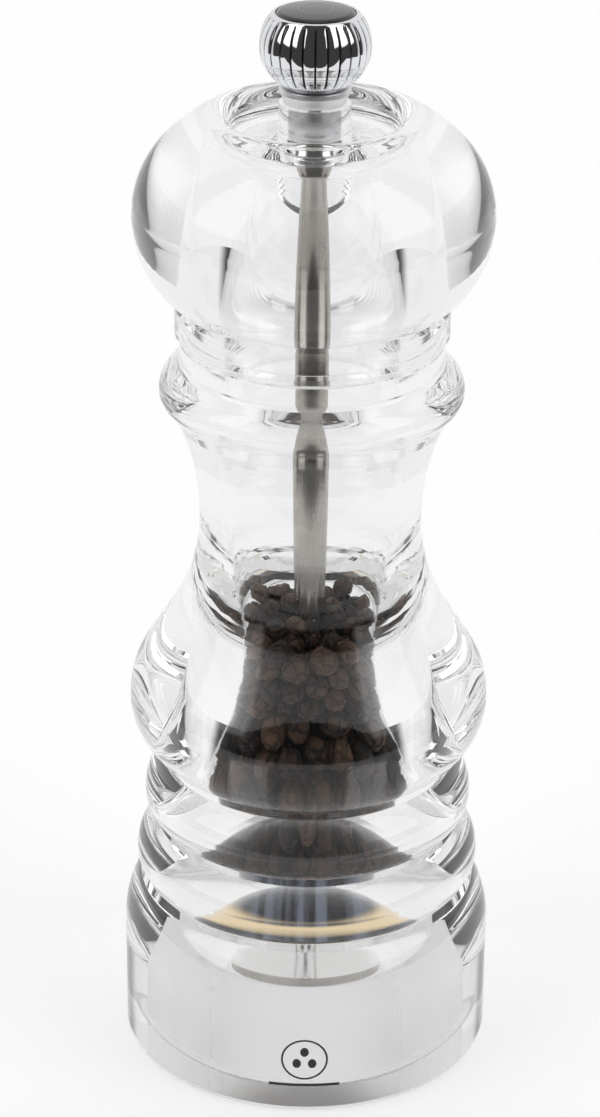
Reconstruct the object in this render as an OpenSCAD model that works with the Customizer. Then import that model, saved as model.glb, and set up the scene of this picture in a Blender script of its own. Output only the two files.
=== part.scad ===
// Clear acrylic pepper mill with a turned profile, a steel drive shaft, a two-part steel
// grinding mechanism in the base and a fluted adjusting knob on top.
// Millimetres, +Z up, the axis of the mill is the Z axis and the foot stands on Z = 0.

/* [Body outline] */
// Radius of the plain base cylinder
base_radius = 31; // [26:0.5:37]
// Height where the base cylinder rolls over into the shoulder
base_height = 20.5; // [16:0.5:24]
// Radius of the arc that forms the shoulder
shoulder_arc = 16.5; // [14:0.5:20]
// Width of the bevel at the foot's outer edge
foot_bevel = 1.2; // [0.5:0.1:2]
// Largest radius of the lower ring
lower_ring_radius = 28.8; // [27.5:0.1:30]
// Height of the lower ring's crest
lower_ring_height = 34.2; // [33.9:0.1:34.5]
// Section radius of the lower ring below its crest
lower_ring_under = 5; // [4.6:0.1:5.4]
// Section radius of the lower ring above its crest
lower_ring_over = 7; // [6.6:0.1:7.3]
// Largest radius of the upper ring
upper_ring_radius = 27.35; // [26.5:0.1:28.5]
// Height of the upper ring's crest
upper_ring_height = 45.6; // [45.2:0.1:46]
// Section radius of the upper ring below its crest
upper_ring_under = 5; // [4.6:0.1:5.4]
// Section radius of the upper ring above its crest
upper_ring_over = 7.5; // [7:0.1:7.8]
// Largest radius of the bulge round the pepper
bulge_radius = 29.65; // [27:0.1:34]
// Height of the bulge's widest line
bulge_height = 63.5; // [62:0.5:65]
// Section radius of the bulge above its widest line
bulge_over = 14.5; // [13:0.1:16]
// Section radius of the bulge below its widest line
bulge_under = 12; // [11:0.1:12.4]
// Radius of the waist where a hand holds the mill
waist_radius = 18; // [17:0.1:21]
// Height of the narrowest line of the waist
waist_height = 96; // [92:0.5:100]
// Radius of the hollow curve below the waist
waist_lower_arc = 34; // [28:0.5:40]
// Radius of the hollow curve above the waist
waist_upper_arc = 43; // [36:0.5:50]
// Largest radius of the bead below the joint
bead_radius = 24.45; // [23.5:0.05:25.5]
// Height of the bead's crest
bead_height = 118; // [117:0.1:119]
// Height of the body's top face
body_height = 126.2; // [124:0.1:130]

/* [Head outline] */
// Largest radius of the head
head_radius = 28.5; // [26:0.1:32]
// Height of the head's widest line above the joint
head_rise = 20.5; // [19:0.1:22]
// Section radius of the head below its widest line
head_lower_section = 17.6; // [16.5:0.1:19]
// Section radius of the head above its widest line
head_upper_section = 16.3; // [15.5:0.1:17]
// Radius of the plain collar at the foot of the head
head_collar_radius = 21.9; // [21:0.1:23]
// Radius of the narrow line where head and body meet
joint_radius = 21.1; // [20:0.1:21.7]
// Section radius of the head's slope up to the rim
head_slope_section = 26; // [22:0.5:30]
// Section radius of the rim round the dish
rim_section = 3; // [2.6:0.1:3.4]
// Radius of the dish inside its wall
dish_radius = 13.4; // [12.4:0.1:13.5]
// Depth of the dish below the rim's crest
dish_depth = 4.5; // [3.8:0.1:4.8]
// Height of the hub above the rim's crest
hub_rise = 1.6; // [0.8:0.1:2.4]
// Radius of the steel sleeve in the hub
sleeve_radius = 4.2; // [3.6:0.1:4.6]

/* [Hollow] */
// Radius of the hopper's mouth at the body's top
mouth_radius = 14.6; // [13:0.1:15.5]
// Radius of the hopper's bore below the neck
neck_bore = 13.2; // [12:0.1:14.5]
// Height where the hopper starts to flare
flare_top = 78; // [74:0.5:84]
// Height where the hopper's flare ends
flare_bottom = 52; // [48:0.5:58]
// Radius of the hopper below its flare
hopper_radius = 16.2; // [15.5:0.1:16.4]
// Radius of the mechanism's bore up from the foot
chamber_radius = 16.6; // [16.6:0.1:18.5]
// Height of the ledge that the mechanism seats against
seat_height = 38.2; // [37:0.5:41]
// Width of the bevel at the foot's inner edge
bore_bevel = 0.8; // [0.4:0.1:1.2]
// Radius of the hollow in the head
head_hollow_radius = 13.7; // [12:0.1:18]
// Height of the head hollow's roof above the joint
head_hollow_rise = 30.5; // [22:0.1:30.5]
// Rounding of the head hollow's roof
roof_round = 1.5; // [1:0.1:6]

/* [Mechanism] */
// Height of the mechanism's housing
housing_height = 19.8; // [19.5:0.1:22]
// Wall of the housing
housing_wall = 2.35; // [2:0.05:2.6]
// Height of the fixed grinding ring
ring_height = 10; // [8:0.5:11]
// Narrowest radius of the fixed grinding ring
ring_throat = 9.8; // [9:0.1:10.2]
// Number of teeth cut in the fixed grinding ring
ring_teeth = 20; // [12:1:36]
// Number of teeth cut in the turning grinder
grinder_teeth = 16; // [8:1:24]
// Gap between the two grinders at rest
grinding_gap = 0.8; // [0.7:0.05:1.2]
// Number of arms that carry the bearing
bridge_arms = 3; // [3:1:4]
// Width of each bearing arm
bridge_arm_width = 3; // [2:0.1:4]
// Height of the space for the spring above the grinding ring
spring_room = 3.6; // [3.4:0.1:5]
// Thickness of the bearing bridge
bridge_height = 3; // [2:0.1:4]
// Radius of the bearing bridge's hub
bridge_hub_radius = 5; // [4.5:0.1:6]
// Wire thickness of the spring
spring_wire = 0.8; // [0.6:0.1:0.9]
// Number of coils of the spring
spring_turns = 3; // [2:1:4]
// Thickness of the bottom plate
plate_height = 1.2; // [1:0.1:2]
// Number of screws that hold the bottom plate
screw_count = 3; // [3:1:6]
// Radius of the screw heads in the bottom plate
screw_head_radius = 1.1; // [0.9:0.05:1.15]

/* [Shaft and knob] */
// Diameter of the round steel shaft
shaft_diameter = 5.4; // [4.8:0.1:6.4]
// Width across the flats of the square ends
square_width = 3.8; // [3.4:0.1:4.2]
// Diameter of the thread at the top of the shaft
thread_diameter = 3.8; // [3:0.1:4]
// Pitch of the thread at the top of the shaft
thread_pitch = 0.7; // [0.5:0.05:1]
// Largest radius of the fluted knob
knob_radius = 8.7; // [7:0.1:12]
// Height of the knob
knob_height = 11.45; // [10.4:0.05:13]
// Number of flats round the knob
knob_flats = 28; // [24:1:40]
// Width of the groove between two flats
knob_groove = 0.34; // [0.2:0.02:0.5]
// Radius of the black cap let into the knob
cap_radius = 6.2; // [5:0.1:6.4]
// Height of the collar under the knob
collar_height = 2.35; // [2:0.05:4]
// Radius of the collar's top
collar_top_radius = 5.6; // [5:0.1:6.2]
// Radius of the collar's foot
collar_foot_radius = 4.8; // [4.6:0.1:5.6]

/* [Clearances] */
// Clearance round a fixed piece in its seat
seat_gap = 0.05; // [0.02:0.01:0.1]
// Radial clearance round a turning or sliding piece
run_gap = 0.06; // [0.03:0.01:0.1]
// Gap between faces that pass each other
face_gap = 0.3; // [0.3:0.05:0.6]
// Space left round the shaft and the hopper's wall by the peppercorns
fill_gap = 0.3; // [0.3:0.05:1]

/* [Detail] */
// Segments in each quarter turn of an outline's curve
curve_steps = 8; // [4:1:12]

/* [Hidden] */
$fn = 96;

ACRYLIC = [0.86, 0.92, 0.95, 0.45];
STEEL = [0.62, 0.62, 0.64];
DARK_STEEL = [0.30, 0.30, 0.32];
CHROME = [0.80, 0.81, 0.83];
PEPPER = [0.23, 0.15, 0.10];
BLACK = [0.05, 0.05, 0.05];
BRASS = [0.80, 0.66, 0.34];

joint_height = body_height + face_gap;
bead_over = 4.4;
head_mid = joint_height + head_rise;
slope_start = 42;
slope_end = 61;
slope_radius = head_radius - head_upper_section
    + (head_upper_section - head_slope_section) * cos(slope_start);
slope_mid = head_mid + (head_upper_section - head_slope_section) * sin(slope_start);
rim_radius = slope_radius + (head_slope_section - rim_section) * cos(slope_end);
rim_height = slope_mid + (head_slope_section - rim_section) * sin(slope_end) + rim_section;
dish_wall_section = 2.4;
dish_height = rim_height - dish_depth;
hub_radius = collar_foot_radius + 0.8;
hub_height = rim_height + hub_rise;
roof_height = joint_height + head_hollow_rise;

flare_drop = flare_top - flare_bottom;
flare_out = hopper_radius - neck_bore;
flare_arc = (pow(flare_drop, 2) + pow(flare_out, 2)) / (2 * flare_out);
heap_top = flare_top + 5;
heap_steps = 8;

housing_top = seat_height;
plate_base = housing_top - housing_height;
housing_outer = chamber_radius - seat_gap;
housing_bore = housing_outer - housing_wall;
screw_circle = housing_bore + housing_wall / 2;
ring_base = plate_base;
ring_top = ring_base + ring_height;
ring_flare_height = 3;
ring_flare_slope = 0.6;
grinder_base = ring_base - 0.6;
grinder_height = ring_height - 3;
grinder_top = grinder_base + grinder_height;
bridge_base = ring_top + spring_room;
bridge_top = bridge_base + bridge_height;

shaft_radius = shaft_diameter / 2;
seat_thickness = 0.8;
washer_height = 0.8;
nut_height = 2.2;
washer_radius = thread_diameter / 2 + 3;
recess_height = washer_height + nut_height + 0.1;
washer_base = grinder_base + recess_height - washer_height;
spring_radius = shaft_radius + 0.9 + spring_wire / 2;
closed_pitch = spring_wire + 0.08;
coil_steps = 24;
wire_sides = 8;
travel = 1;
square_top_base = roof_height + 2.5;
square_top_end = hub_height + 0.6;

collar_base = hub_height;
knob_base = collar_base + collar_height + face_gap;
knob_top = knob_base + knob_height;
knob_mid = knob_base + knob_height * 0.563;
ball_section = 7.2;
flute_depth = 0.32;
insert_radius = 3.2;
insert_height = 6.5;
cap_height = 2;
cap_rise = 0.7;

// Points along an arc in the half plane, from angle a0 to angle a1
function arc(cr, cz, r, a0, a1) =
    let (n = max(2, ceil(abs(a1 - a0) / 90 * curve_steps)))
    [for (i = [0:n]) [cr + r * cos(a0 + (a1 - a0) * i / n), cz + r * sin(a0 + (a1 - a0) * i / n)]];

// A plain upright tube
module tube(outer, inner, base, height) {
    translate([0, 0, base])
        difference() {
            cylinder(r = outer, h = height);
            translate([0, 0, -1]) cylinder(r = inner, h = height + 2);
        }
}

// A square bar along the axis
module square_bar(width, base, height) {
    translate([-width / 2, -width / 2, base]) cube([width, width, height]);
}

// Outline of the body from the foot to its top face
function body_outline() = concat(
    [[base_radius - foot_bevel, 0], [base_radius - foot_bevel * 0.3, foot_bevel * 0.3],
     [base_radius, foot_bevel]],
    arc(base_radius - shoulder_arc, base_height, shoulder_arc, 0, 33.5),
    arc(lower_ring_radius - lower_ring_under, lower_ring_height, lower_ring_under, -48, 0),
    arc(lower_ring_radius - lower_ring_over, lower_ring_height, lower_ring_over, 8, 60),
    arc(upper_ring_radius - upper_ring_under, upper_ring_height, upper_ring_under, -62, 0),
    arc(upper_ring_radius - upper_ring_over, upper_ring_height, upper_ring_over, 8, 58),
    arc(bulge_radius - bulge_under, bulge_height, bulge_under, -60, 0),
    arc(bulge_radius - bulge_over, bulge_height, bulge_over, 6, 33),
    arc(waist_radius + waist_lower_arc, waist_height, waist_lower_arc, 213, 180),
    arc(waist_radius + waist_upper_arc, waist_height, waist_upper_arc, 177, 157),
    arc(bead_radius - 3, bead_height, 3, -52, -10),
    arc(bead_radius - bead_over, bead_height, bead_over, 0, 52),
    arc(joint_radius + 2.2, bead_height + 5.6, 2, 214, 180),
    [[joint_radius, body_height]]);

// Radius of the hopper's flare at a height
function flare_radius(z) =
    z >= flare_top ? neck_bore
    : z <= flare_bottom ? hopper_radius
    : neck_bore + flare_arc - sqrt(pow(flare_arc, 2) - pow(flare_top - z, 2));

// Outline of the space inside the body from the mouth down to the foot
function body_hollow() = concat(
    [[mouth_radius, body_height]],
    [for (i = [0:curve_steps])
        let (z = flare_top - flare_drop * i / curve_steps) [flare_radius(z), z]],
    [[hopper_radius, seat_height], [chamber_radius, seat_height],
     [chamber_radius, bore_bevel], [chamber_radius + bore_bevel, 0]]);

module body() {
    color(ACRYLIC)
        rotate_extrude() polygon(concat(body_outline(), body_hollow()));
}

// Outline of the head from the joint to the hub's top
function head_outline() = concat(
    [[joint_radius, joint_height], [head_collar_radius, joint_height + 1.3],
     [head_collar_radius, joint_height + 5.8]],
    arc(head_radius - head_lower_section, head_mid, head_lower_section, -52, 0),
    arc(head_radius - head_upper_section, head_mid, head_upper_section, 6, slope_start),
    arc(slope_radius, slope_mid, head_slope_section, slope_start + 3, slope_end),
    arc(rim_radius, rim_height - rim_section, rim_section, slope_end + 8, 150),
    arc(dish_radius - dish_wall_section, dish_height + dish_wall_section, dish_wall_section, 5, -90),
    arc(hub_radius + 1.6, dish_height + 1.6, 1.6, -90, -180),
    [[hub_radius, hub_height]]);

module head() {
    color(ACRYLIC)
        rotate_extrude()
            polygon(concat(head_outline(),
                [[sleeve_radius, hub_height], [sleeve_radius, roof_height]],
                arc(head_hollow_radius - roof_round, roof_height - roof_round, roof_round, 90, 0),
                [[head_hollow_radius, joint_height]]));
}

// Steel sleeve in the head whose square hole turns the shaft
module drive_bush() {
    color(STEEL)
        difference() {
            translate([0, 0, roof_height - 0.8])
                cylinder(r = sleeve_radius - seat_gap, h = hub_height - roof_height + 0.8);
            square_bar(square_width + run_gap * 2, roof_height, hub_height - roof_height + 1);
            translate([0, 0, roof_height - 2])
                cylinder(r = shaft_radius + face_gap, h = square_top_base + travel - roof_height + 2);
        }
}

// Tapered satin collar on the head's hub
module collar() {
    color(CHROME)
        rotate_extrude()
            polygon([[thread_diameter / 2 + 1, collar_base], [collar_foot_radius, collar_base],
                     [collar_foot_radius + 0.15, collar_base + 0.6],
                     [collar_top_radius, collar_base + collar_height - 0.6],
                     [collar_top_radius, collar_base + collar_height],
                     [thread_diameter / 2 + 1, collar_base + collar_height]]);
}

// Housing pressed into the chamber from below, up to the ledge
module housing() {
    color(DARK_STEEL)
        rotate_extrude()
            polygon([[housing_bore, plate_base], [housing_outer, plate_base],
                     [housing_outer, housing_top], [housing_bore + 1.5, housing_top],
                     [housing_bore, housing_top - 1.8]]);
}

// Fixed ring with slanting teeth and a flared lower edge
module grinding_ring() {
    outer = housing_bore - seat_gap;
    mouth = ring_throat + ring_flare_slope * ring_flare_height;
    color(STEEL)
        difference() {
            rotate_extrude()
                polygon([[mouth, ring_base], [outer, ring_base], [outer, ring_top],
                         [outer - 1, ring_top], [ring_throat, ring_base + ring_flare_height + 2.4],
                         [ring_throat, ring_base + ring_flare_height]]);
            for (i = [0:ring_teeth - 1])
                rotate([0, 0, 360 / ring_teeth * i])
                    translate([ring_throat + 1.1, 0, ring_base + ring_flare_height])
                        rotate([24, 0, 0]) rotate([0, 30, 0])
                            cylinder(r = 0.8, h = 12, center = true, $fn = 4);
        }
}

// Cone with slanting teeth that turns inside the fixed ring, with a recess for washer and nut
module grinder() {
    lower = ring_throat - grinding_gap + ring_flare_slope * (ring_flare_height + ring_base - grinder_base);
    color(DARK_STEEL)
        difference() {
            rotate_extrude()
                polygon([[0, grinder_base], [lower, grinder_base],
                         [ring_throat - grinding_gap, ring_base + ring_flare_height],
                         [shaft_radius + 2.2, grinder_top], [0, grinder_top]]);
            for (i = [0:grinder_teeth - 1])
                rotate([0, 0, 360 / grinder_teeth * i])
                    translate([ring_throat - grinding_gap, 0, ring_base + ring_flare_height])
                        rotate([-28, 0, 0]) rotate([0, -34, 0])
                            cylinder(r = 0.7, h = 16, center = true, $fn = 4);
            square_bar(square_width + seat_gap * 2, grinder_base - 1, grinder_height + 2);
            translate([0, 0, grinder_base - 1])
                cylinder(r = washer_radius + face_gap, h = recess_height + 1);
        }
}

// Ring with arms and a hub that carries the shaft's bearing above the grinder
module bridge() {
    outer = housing_bore - seat_gap;
    color(DARK_STEEL)
        difference() {
            union() {
                tube(outer, outer - 1.2, ring_top, bridge_top - ring_top);
                translate([0, 0, bridge_base]) cylinder(r = bridge_hub_radius, h = bridge_height);
                for (i = [0:bridge_arms - 1])
                    rotate([0, 0, 90 + 360 / bridge_arms * i])
                        translate([0, -bridge_arm_width / 2, bridge_base])
                            cube([outer - 0.8, bridge_arm_width, bridge_height]);
            }
            translate([0, 0, bridge_base - 1])
                cylinder(r = shaft_radius + 1 + seat_gap, h = bridge_height + 2);
        }
}

// Plain bearing sleeve in the bridge's hub
module bridge_bush() {
    color(BRASS)
        tube(shaft_radius + 1, shaft_radius + run_gap, bridge_base, bridge_height + 0.8);
}

// Ring plate that keeps the grinding ring in its housing
module bottom_plate() {
    color(STEEL)
        difference() {
            tube(housing_outer - 0.3, ring_throat + ring_flare_slope * ring_flare_height + 0.6,
                 plate_base - plate_height, plate_height);
            for (i = [0:screw_count - 1])
                rotate([0, 0, 90 + 360 / screw_count * i])
                    translate([screw_circle, 0, plate_base - plate_height - 1])
                        cylinder(r = screw_head_radius * 0.5 + seat_gap, h = plate_height + 2, $fn = 32);
        }
}

// Small screws through the bottom plate
module plate_screws() {
    color(STEEL)
        for (i = [0:screw_count - 1])
            rotate([0, 0, 90 + 360 / screw_count * i])
                translate([screw_circle, 0, plate_base - plate_height])
                    difference() {
                        union() {
                            translate([0, 0, -0.9]) cylinder(r = screw_head_radius, h = 0.9, $fn = 32);
                            cylinder(r = screw_head_radius * 0.5, h = plate_height, $fn = 32);
                        }
                        translate([-screw_head_radius, -0.2, -1.4])
                            cube([screw_head_radius * 2, 0.4, 0.9]);
                        rotate([0, 0, 90])
                            translate([-screw_head_radius, -0.2, -1.4])
                                cube([screw_head_radius * 2, 0.4, 0.9]);
                    }
}

// The heap of peppercorns that fills the hopper round the shaft
module peppercorns() {
    base = housing_top + fill_gap;
    core = shaft_radius + fill_gap;
    color(PEPPER)
        rotate_extrude()
            polygon(concat(
                [[core, base], [hopper_radius - fill_gap, base]],
                [for (i = [0:heap_steps])
                    let (z = flare_bottom + flare_drop * i / heap_steps)
                    [flare_radius(z) - fill_gap, z]],
                [[neck_bore - fill_gap, heap_top], [neck_bore - fill_gap - 2, heap_top + 1.2],
                 [core, heap_top - 1]]));
}

// Round steel shaft with a square at each end and a thread for the knob
module shaft() {
    round_base = grinder_top + seat_thickness;
    color(STEEL) {
        translate([0, 0, round_base]) cylinder(r = shaft_radius, h = square_top_base - round_base);
        square_bar(square_width, washer_base + washer_height, round_base - washer_base - washer_height);
        square_bar(square_width, square_top_base, square_top_end - square_top_base);
        translate([0, 0, grinder_base]) cylinder(r = thread_diameter / 2, h = recess_height);
        translate([0, 0, square_top_end])
            cylinder(r = thread_diameter / 2, h = knob_base + insert_height - square_top_end);
    }
}

// Washer that the spring pushes on, held on the lower square
module spring_seat() {
    color(STEEL)
        difference() {
            translate([0, 0, grinder_top]) cylinder(r = shaft_radius + 2, h = seat_thickness);
            square_bar(square_width + seat_gap * 2, grinder_top - 1, seat_thickness + 2);
        }
}

// Height of the coil after turn t: closed turns at the ends, open turns between
function coil_height(t, low, high) =
    let (open_pitch = (high - low - 2 * closed_pitch) / (spring_turns - 1))
    t < 1 ? low + closed_pitch * t
    : t < spring_turns ? low + closed_pitch + open_pitch * (t - 1)
    : low + closed_pitch + open_pitch * (spring_turns - 1) + closed_pitch * (t - spring_turns);

// Coil spring between the grinder's seat and the bridge
module spring() {
    low = grinder_top + seat_thickness + spring_wire / 2 + 0.02;
    high = bridge_base - spring_wire / 2 - 0.02;
    rings = ceil((spring_turns + 1) * coil_steps);
    points = [for (i = [0:rings], k = [0:wire_sides - 1])
        let (t = i / coil_steps, a = 360 * t, w = 360 / wire_sides * k,
             r = spring_radius + spring_wire / 2 * cos(w))
        [r * cos(a), r * sin(a), coil_height(t, low, high) + spring_wire / 2 * sin(w)]];
    sides = [for (i = [0:rings - 1], k = [0:wire_sides - 1])
        let (a = i * wire_sides, n = (k + 1) % wire_sides)
        [a + k, a + wire_sides + k, a + wire_sides + n, a + n]];
    first = [for (k = [0:wire_sides - 1]) k];
    last = [for (k = [wire_sides - 1:-1:0]) rings * wire_sides + k];
    color(STEEL) polyhedron(points = points, faces = concat(sides, [first, last]), convexity = 8);
}

// Washer under the grinder
module thrust_washer() {
    color(STEEL)
        tube(washer_radius, thread_diameter / 2 + seat_gap, washer_base, washer_height);
}

// Nut that closes the shaft's lower end
module shaft_nut() {
    color(STEEL)
        difference() {
            translate([0, 0, washer_base - nut_height])
                cylinder(r = thread_diameter / 2 + 2.1, h = nut_height, $fn = 6);
            translate([0, 0, washer_base - nut_height - 1])
                cylinder(r = thread_diameter / 2 + seat_gap, h = nut_height + 2);
        }
}

// Outline of the ball-shaped knob
function knob_outline() = concat(
    [[collar_top_radius - 0.8, knob_base]],
    arc(knob_radius - ball_section, knob_mid, ball_section, -58, 40),
    [[cap_radius + 0.6, knob_top - 0.1], [cap_radius + 0.35, knob_top]]);

// Cutter for one groove that follows the ball from its foot to the lip
module flute() {
    intersection() {
        translate([knob_radius - ball_section, 0, knob_mid])
            rotate([90, 0, 0])
                difference() {
                    cylinder(r = ball_section + 1, h = knob_groove, center = true);
                    cylinder(r = ball_section - flute_depth, h = knob_groove + 1, center = true);
                }
        translate([insert_radius + 1, -1, knob_base + 0.5])
            cube([knob_radius, 2, knob_height - 1.2]);
    }
}

// Fluted ball with a bore for the insert and a recess for the cap
module knob() {
    color(CHROME)
        difference() {
            rotate_extrude()
                polygon(concat([[insert_radius + seat_gap, knob_base]], knob_outline(),
                    [[cap_radius + seat_gap, knob_top],
                     [cap_radius + seat_gap, knob_top - cap_height],
                     [insert_radius + seat_gap, knob_top - cap_height]]));
            for (i = [0:knob_flats - 1])
                rotate([0, 0, 360 / knob_flats * i]) flute();
        }
}

// Threaded sleeve in the knob
module knob_insert() {
    color(BRASS)
        tube(insert_radius, thread_diameter / 2 + run_gap, knob_base, insert_height + 1);
}

// Slightly domed black cap let into the knob's top
module knob_cap() {
    color(BLACK)
        rotate_extrude()
            polygon([[0, knob_top - cap_height], [cap_radius, knob_top - cap_height],
                     [cap_radius, knob_top - 0.1], [cap_radius - 0.7, knob_top + cap_rise * 0.5],
                     [cap_radius * 0.5, knob_top + cap_rise * 0.88], [0, knob_top + cap_rise]]);
}

body();
housing();
bridge();
bridge_bush();
grinding_ring();
bottom_plate();
plate_screws();
peppercorns();
head();
drive_bush();
collar();
shaft();
grinder();
spring_seat();
spring();
thrust_washer();
shaft_nut();
knob();
knob_insert();
knob_cap();
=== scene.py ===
import math
import random

import bpy
import numpy as np
from mathutils import Matrix, Vector


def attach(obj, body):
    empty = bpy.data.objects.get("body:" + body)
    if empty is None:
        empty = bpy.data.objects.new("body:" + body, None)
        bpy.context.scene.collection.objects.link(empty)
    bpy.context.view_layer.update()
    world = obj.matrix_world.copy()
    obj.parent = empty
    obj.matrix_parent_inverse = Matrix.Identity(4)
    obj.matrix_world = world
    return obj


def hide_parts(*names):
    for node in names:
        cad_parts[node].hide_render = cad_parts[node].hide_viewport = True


bl_info = {
    "name": "Clear pepper mill",
    "version": (1, 0, 0),
    "blender": (4, 5, 0),
    "location": "3D View > Sidebar > Mill",
    "description": "Models the looks of a clear acrylic pepper mill round its mechanical frame",
    "category": "Object",
}

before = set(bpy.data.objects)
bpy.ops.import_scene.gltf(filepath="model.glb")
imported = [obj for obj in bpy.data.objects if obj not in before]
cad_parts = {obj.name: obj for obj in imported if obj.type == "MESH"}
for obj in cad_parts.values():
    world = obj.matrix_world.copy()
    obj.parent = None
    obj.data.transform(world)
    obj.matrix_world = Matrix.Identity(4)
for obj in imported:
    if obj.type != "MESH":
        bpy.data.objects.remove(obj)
MM = 0.001


# ---------------------------------------------------------------- settings

class MillSizes(bpy.types.PropertyGroup):
    """Sizes of the modelled pieces."""

    lathe_steps: bpy.props.IntProperty(
        name="Lathe steps", description="Segments round the acrylic pieces", default=256, min=64, max=512)
    edge_radius: bpy.props.FloatProperty(
        name="Edge radius", description="Rounding of the acrylic's turned edges",
        default=0.00014, unit="LENGTH")
    corn_count: bpy.props.IntProperty(
        name="Peppercorns", description="Number of peppercorns in the hopper", default=590, min=20, max=900)
    corn_radius: bpy.props.FloatProperty(
        name="Peppercorn radius", description="Mean radius of a peppercorn", default=0.00196, unit="LENGTH")
    corn_wrinkle: bpy.props.FloatProperty(
        name="Wrinkles", description="Depth of the peppercorns' wrinkles", default=0.00030, unit="LENGTH")
    knob_flats: bpy.props.IntProperty(
        name="Knob flats", description="Number of flats round the knob", default=28, min=12, max=48)
    groove_width: bpy.props.FloatProperty(
        name="Groove width", description="Width of the groove between two flats of the knob",
        default=0.00034, unit="LENGTH")
    groove_depth: bpy.props.FloatProperty(
        name="Groove depth", description="Depth of the knob's grooves", default=0.00032, unit="LENGTH")
    mark_width: bpy.props.FloatProperty(
        name="Mark width", description="Width of the plain printed mark on the base",
        default=0.0118, unit="LENGTH")


class MillColours(bpy.types.PropertyGroup):
    """Colours of the materials."""

    acrylic: bpy.props.FloatVectorProperty(
        name="Acrylic", description="Tint of the clear acrylic", subtype="COLOR",
        default=(0.992, 0.995, 0.998), min=0, max=1)
    steel: bpy.props.FloatVectorProperty(
        name="Steel", description="Colour of the drawn steel shaft", subtype="COLOR",
        default=(0.50, 0.475, 0.44), min=0, max=1)
    dark_steel: bpy.props.FloatVectorProperty(
        name="Mechanism steel", description="Colour of the case-hardened mechanism", subtype="COLOR",
        default=(0.20, 0.20, 0.22), min=0, max=1)
    chrome: bpy.props.FloatVectorProperty(
        name="Chrome", description="Colour of the plated knob", subtype="COLOR",
        default=(0.86, 0.87, 0.89), min=0, max=1)
    satin: bpy.props.FloatVectorProperty(
        name="Satin metal", description="Colour of the satin collar", subtype="COLOR",
        default=(0.90, 0.90, 0.905), min=0, max=1)
    brass: bpy.props.FloatVectorProperty(
        name="Bearing bronze", description="Colour of the plain bearings", subtype="COLOR",
        default=(0.62, 0.45, 0.20), min=0, max=1)
    pepper_dark: bpy.props.FloatVectorProperty(
        name="Pepper, dark", description="Darkest colour of the peppercorns", subtype="COLOR",
        default=(0.008, 0.0045, 0.003), min=0, max=1)
    # The lightest pepper colour is reached on the wrinkles' crests, partly as a painted highlight.
    pepper_light: bpy.props.FloatVectorProperty(
        name="Pepper, light", description="Lightest colour of the peppercorns", subtype="COLOR",
        default=(0.230, 0.125, 0.070), min=0, max=1)
    cap: bpy.props.FloatVectorProperty(
        name="Cap", description="Colour of the glossy cap", subtype="COLOR",
        default=(0.010, 0.011, 0.013), min=0, max=1)
    ink: bpy.props.FloatVectorProperty(
        name="Ink", description="Colour of the printed mark", subtype="COLOR",
        default=(0.012, 0.012, 0.012), min=0, max=1)


class MillStage(bpy.types.PropertyGroup):
    """Floor, light and camera."""

    floor: bpy.props.FloatVectorProperty(
        name="Floor", description="Colour of the floor", subtype="COLOR",
        default=(0.50, 0.50, 0.50), min=0, max=1)
    floor_glow: bpy.props.FloatProperty(
        name="Floor glow", description="Light given off by the floor itself", default=0.55)
    light: bpy.props.FloatProperty(
        name="Light", description="Strength of the soft surrounding light", default=1.0)
    boxes: bpy.props.FloatProperty(
        name="Light boxes", description="Strength of the two front light boxes", default=2.0)
    room: bpy.props.FloatProperty(
        name="Room", description="Brightness of the room in front", default=0.06)
    camera_distance: bpy.props.FloatProperty(
        name="Camera distance", description="Distance of the camera in front of the axis",
        default=0.492, unit="LENGTH")
    camera_height: bpy.props.FloatProperty(
        name="Camera height", description="Height of the camera", default=0.321, unit="LENGTH")
    camera_pitch: bpy.props.FloatProperty(
        name="Camera pitch", description="Angle of the camera below the horizon",
        default=math.radians(25.39), subtype="ANGLE")


# ---------------------------------------------------------------- shader tools

class Value:
    """A value socket that can be used in Python expressions; each operation adds a Math node."""

    def __init__(self, tree, socket):
        self.tree = tree
        self.socket = socket

    def maths(self, operation, other=None, flipped=False, clamp=False):
        node = self.tree.nodes.new("ShaderNodeMath")
        node.operation = operation
        node.use_clamp = clamp
        first, second = (other, self) if flipped else (self, other)
        for slot, value in zip(node.inputs, (first, second)):
            if isinstance(value, Value):
                self.tree.links.new(value.socket, slot)
            elif value is not None:
                slot.default_value = value
        return Value(self.tree, node.outputs[0])

    def __add__(self, other):
        return self.maths("ADD", other)

    def __radd__(self, other):
        return self.maths("ADD", other, True)

    def __sub__(self, other):
        return self.maths("SUBTRACT", other)

    def __rsub__(self, other):
        return self.maths("SUBTRACT", other, True)

    def __mul__(self, other):
        return self.maths("MULTIPLY", other)

    def __rmul__(self, other):
        return self.maths("MULTIPLY", other, True)

    def above(self, other):
        return self.maths("GREATER_THAN", other)

    def clamped(self):
        return self.maths("ADD", 0.0, clamp=True)


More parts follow.
